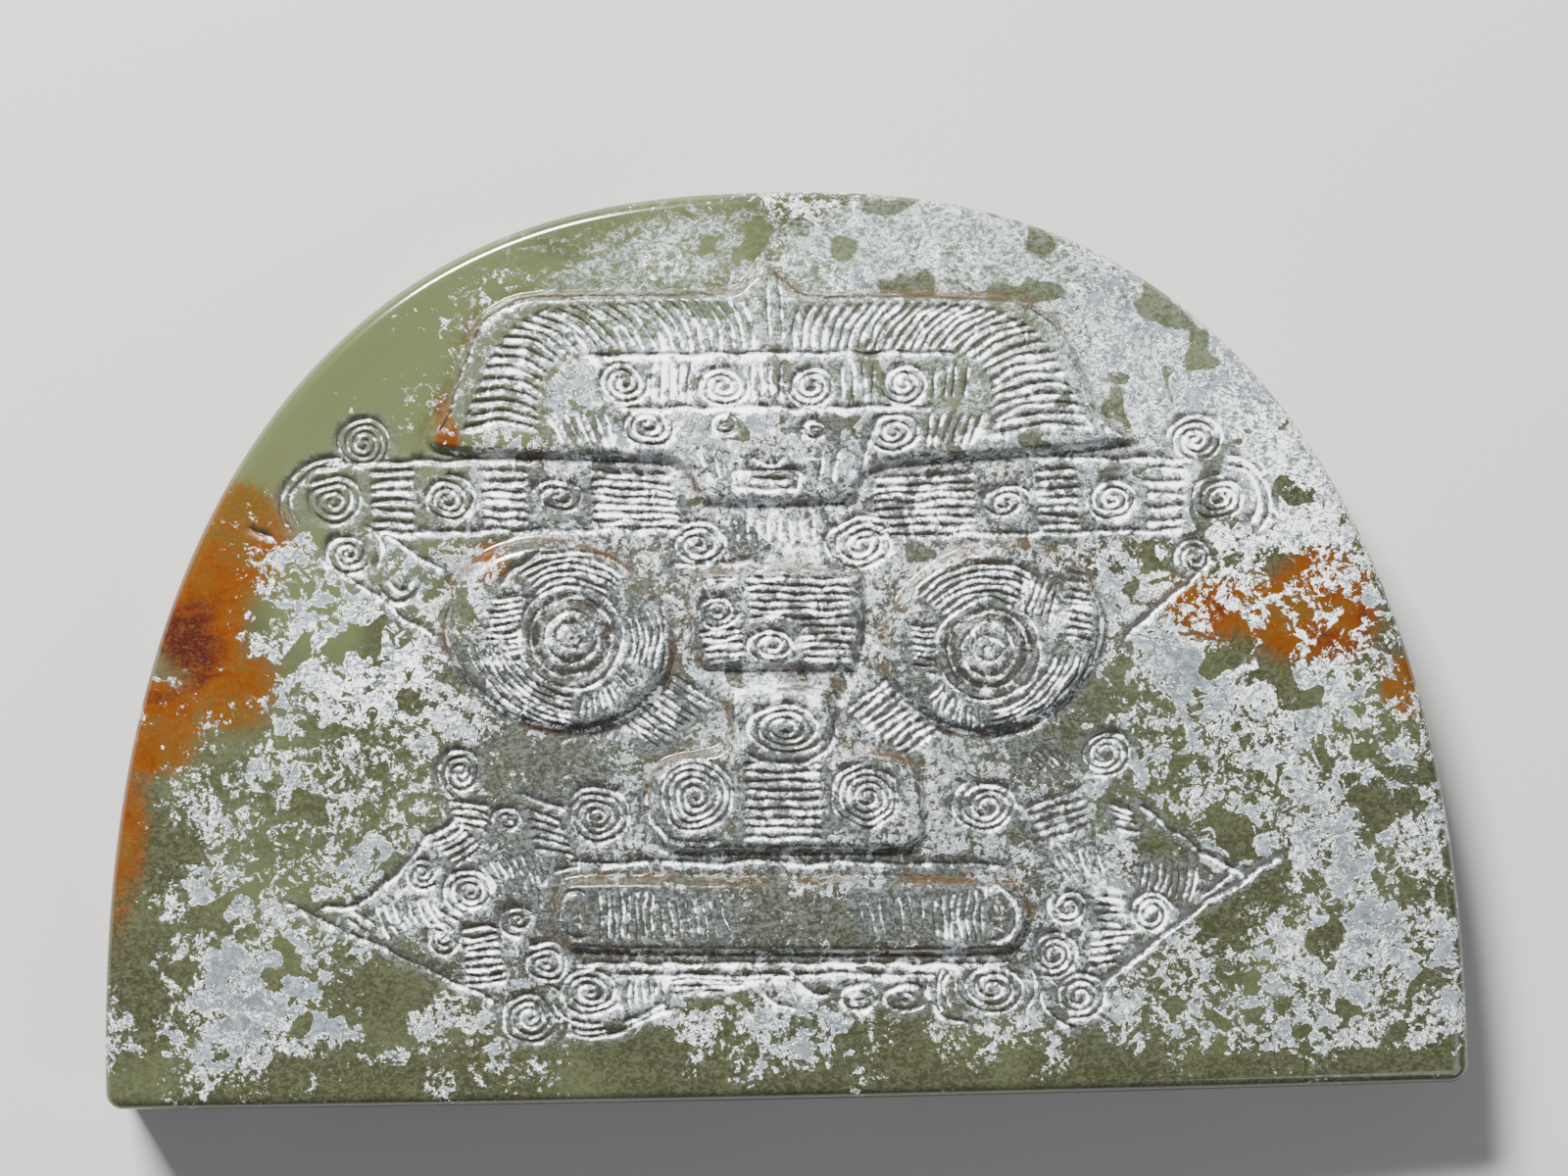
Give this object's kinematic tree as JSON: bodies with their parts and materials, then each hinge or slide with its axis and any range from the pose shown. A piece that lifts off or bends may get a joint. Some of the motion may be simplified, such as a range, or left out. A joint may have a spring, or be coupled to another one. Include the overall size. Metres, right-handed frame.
{
  "type": "carved jade plaque",
  "caption": "Low arch-shaped jade plaque with a domed, relief-carved mask under a feathered headdress; flat back with paired slanting holes for sewing or hanging.",
  "frame": {"origin": "centre of the box's underside: under the middle of the plaque, on the plane of its flat back", "axes": "+X along the straight base, to the right of a viewer who faces the carving; +Y from the base to the crown of the arch; +Z out of the carved face"},
  "size_m": [0.074, 0.049, 0.0094],
  "materials": {
    "jade": "polished nephrite, yellow-green with dense bluish-white clouds and russet patches on both sides"
  },
  "bodies": {
    "root": {"jade_plaque": "jade"}
  },
  "joints": []
}
